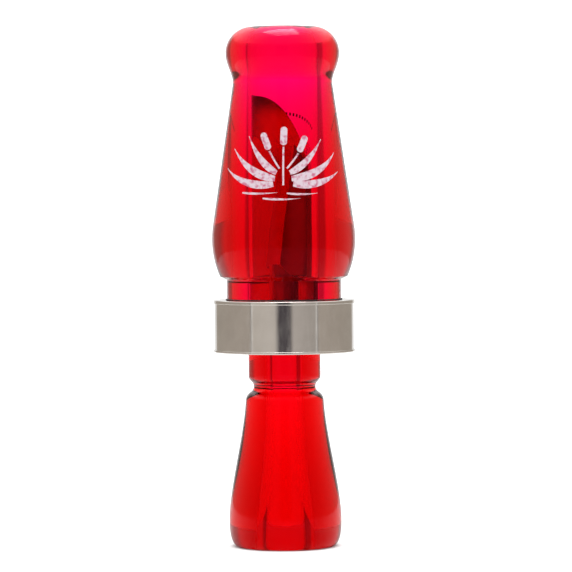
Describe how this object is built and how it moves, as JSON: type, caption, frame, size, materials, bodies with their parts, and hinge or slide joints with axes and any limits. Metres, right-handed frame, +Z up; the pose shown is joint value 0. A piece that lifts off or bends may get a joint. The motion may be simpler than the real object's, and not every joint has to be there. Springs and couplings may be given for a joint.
{
  "type": "duck call",
  "caption": "Hand-held wildfowl call: a lipped acrylic barrel with a metal band, pushed over a flared insert that carries a reed and its wedge.",
  "frame": {"origin": "centre of the insert's flared end, on the surface that the call stands on", "axes": "+Z up the call's axis towards the mouth, +X the side that the tone face and reed look to"},
  "size_m": [0.035, 0.035, 0.1265],
  "materials": {
    "insert_acrylic": "polished clear red acrylic",
    "barrel_acrylic": "polished clear crimson acrylic with a frosted engraved motif",
    "band_metal": "fine-turned and polished, warm grey",
    "o_ring_rubber": "matte black",
    "wedge_rubber": "matte, closed-cell",
    "reed_film": "frosted polyester film"
  },
  "bodies": {
    "insert": {"insert": "insert_acrylic"},
    "o_rings": {"o_ring_lower": "o_ring_rubber", "o_ring_upper": "o_ring_rubber"},
    "barrel": {"barrel": "barrel_acrylic", "band": "band_metal"},
    "reed": {"reed": "reed_film"},
    "wedge": {"wedge_block": "wedge_rubber"}
  },
  "joints": [
    {"name": "barrel_twist", "type": "hinge", "parent": "insert", "child": "o_rings", "pos_m": [0, 0, 0.0473], "axis": [0, 0, 1], "continuous": true},
    {"name": "barrel_pull", "type": "slide", "parent": "o_rings", "child": "barrel", "axis": [0, 0, 1], "range_m": [0, 0.064]},
    {"name": "reed_flex", "type": "hinge", "parent": "insert", "child": "reed", "pos_m": [0.0035, 0, 0.0672], "axis": [0, 1, 0], "range_deg": [0, 1.4], "stiffness_Nm_per_rad": 0.0056},
    {"name": "wedge_slide", "type": "slide", "parent": "insert", "child": "wedge", "axis": [0, 0, 1], "range_m": [0, 0.045]}
  ]
}
